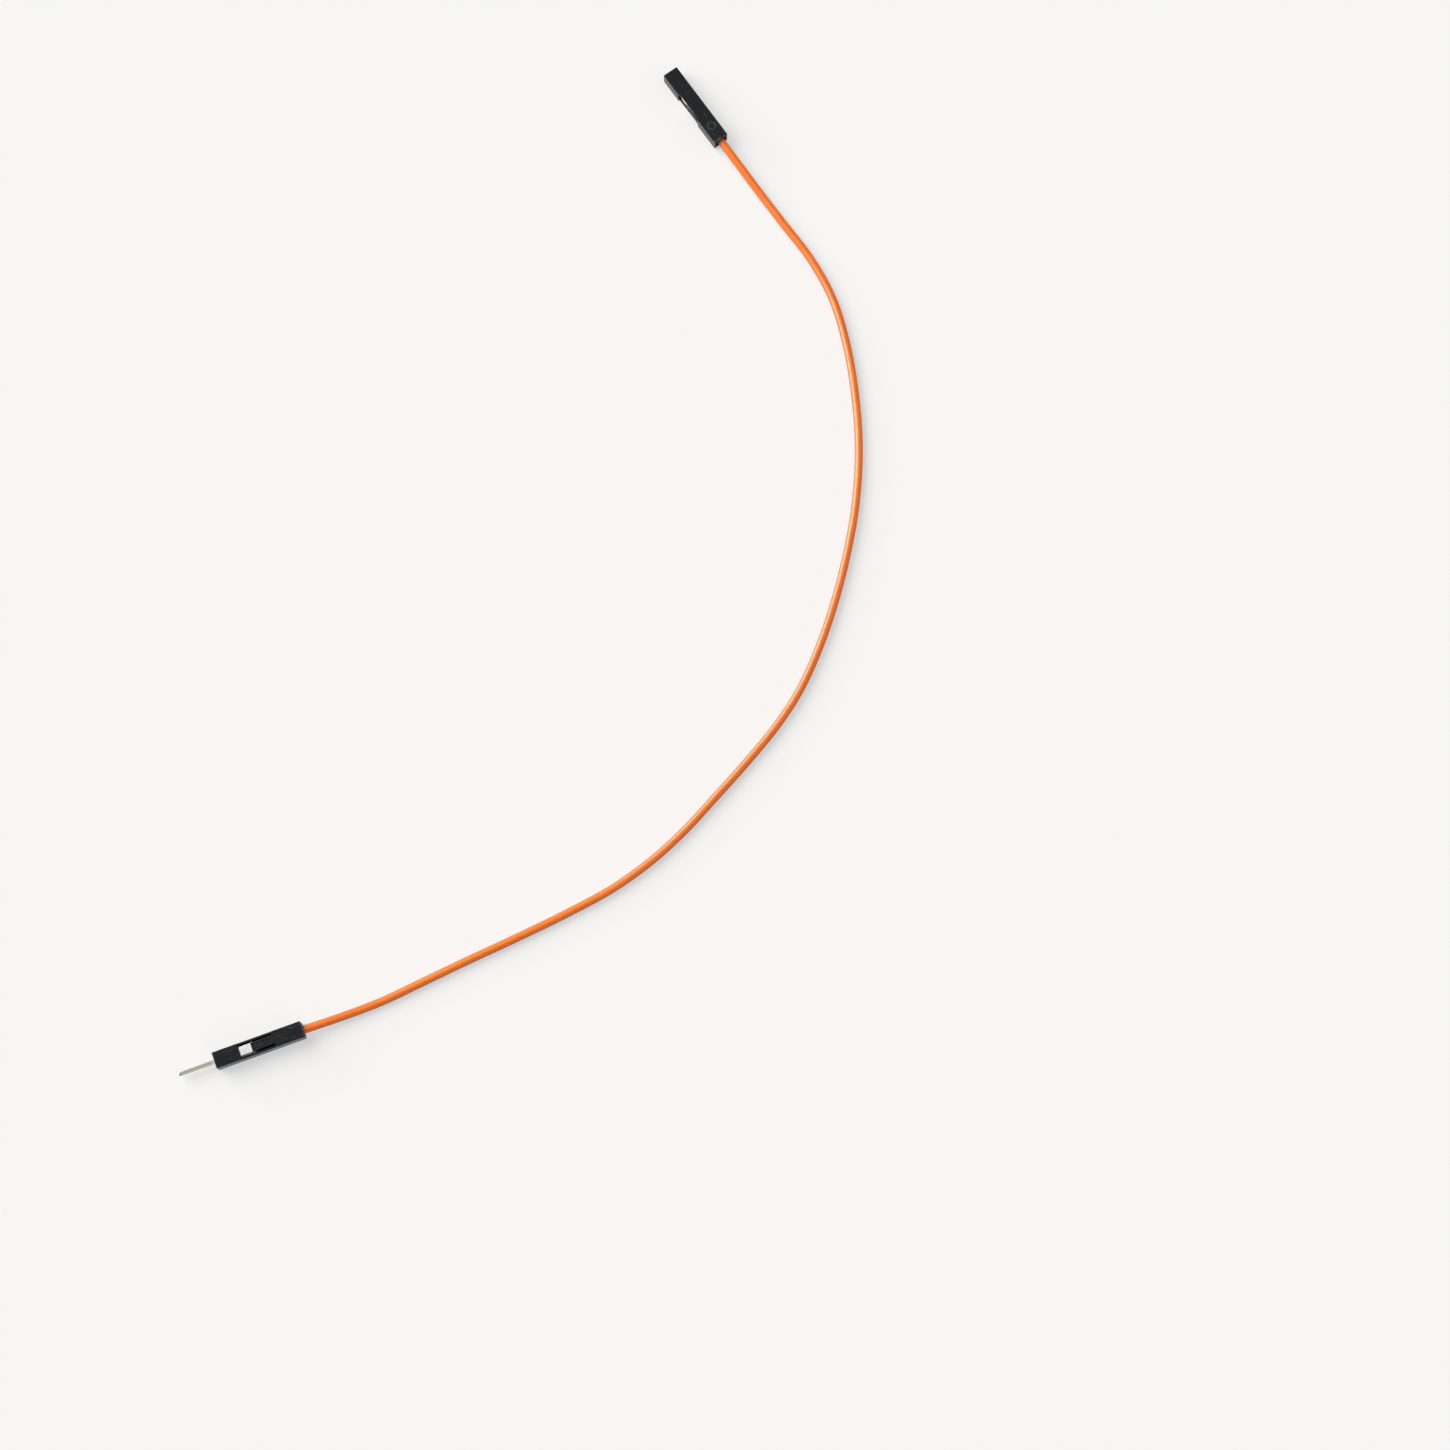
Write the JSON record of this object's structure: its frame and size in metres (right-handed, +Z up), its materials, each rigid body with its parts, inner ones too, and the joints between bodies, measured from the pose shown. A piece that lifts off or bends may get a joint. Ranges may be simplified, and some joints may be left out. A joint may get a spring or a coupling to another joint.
{
  "type": "jumper wire",
  "caption": "Breadboard jumper wire: orange insulated lead in an easy curve, with a square pin in a slim black housing at its male end and a socket in a matching housing at its female end",
  "frame": {"origin": "On the surface that the wire lies on, under the middle of the box around its two connector ends", "axes": "+Z is up from the surface. +Y runs from the male end towards the female end, the long way of the box around the ends. +X is the side to which the wire bows out"},
  "size_m": [0.1038, 0.1612, 0.0025],
  "materials": {
    "housing_black": "moulded black plastic, satin, scuffed along its edges",
    "insulation_orange": "glossy flexible vinyl insulation",
    "contact_plating": "bright plated sheet",
    "strand_copper": "bright drawn copper"
  },
  "bodies": {
    "root": {"male_housing": "housing_black", "male_contact": "contact_plating", "female_housing": "housing_black", "female_contact": "contact_plating", "wire_insulation": "insulation_orange", "conductor_strand_1": "strand_copper", "conductor_strand_2": "strand_copper", "conductor_strand_3": "strand_copper", "conductor_strand_4": "strand_copper", "conductor_strand_5": "strand_copper", "conductor_strand_6": "strand_copper", "conductor_strand_7": "strand_copper"}
  },
  "joints": []
}
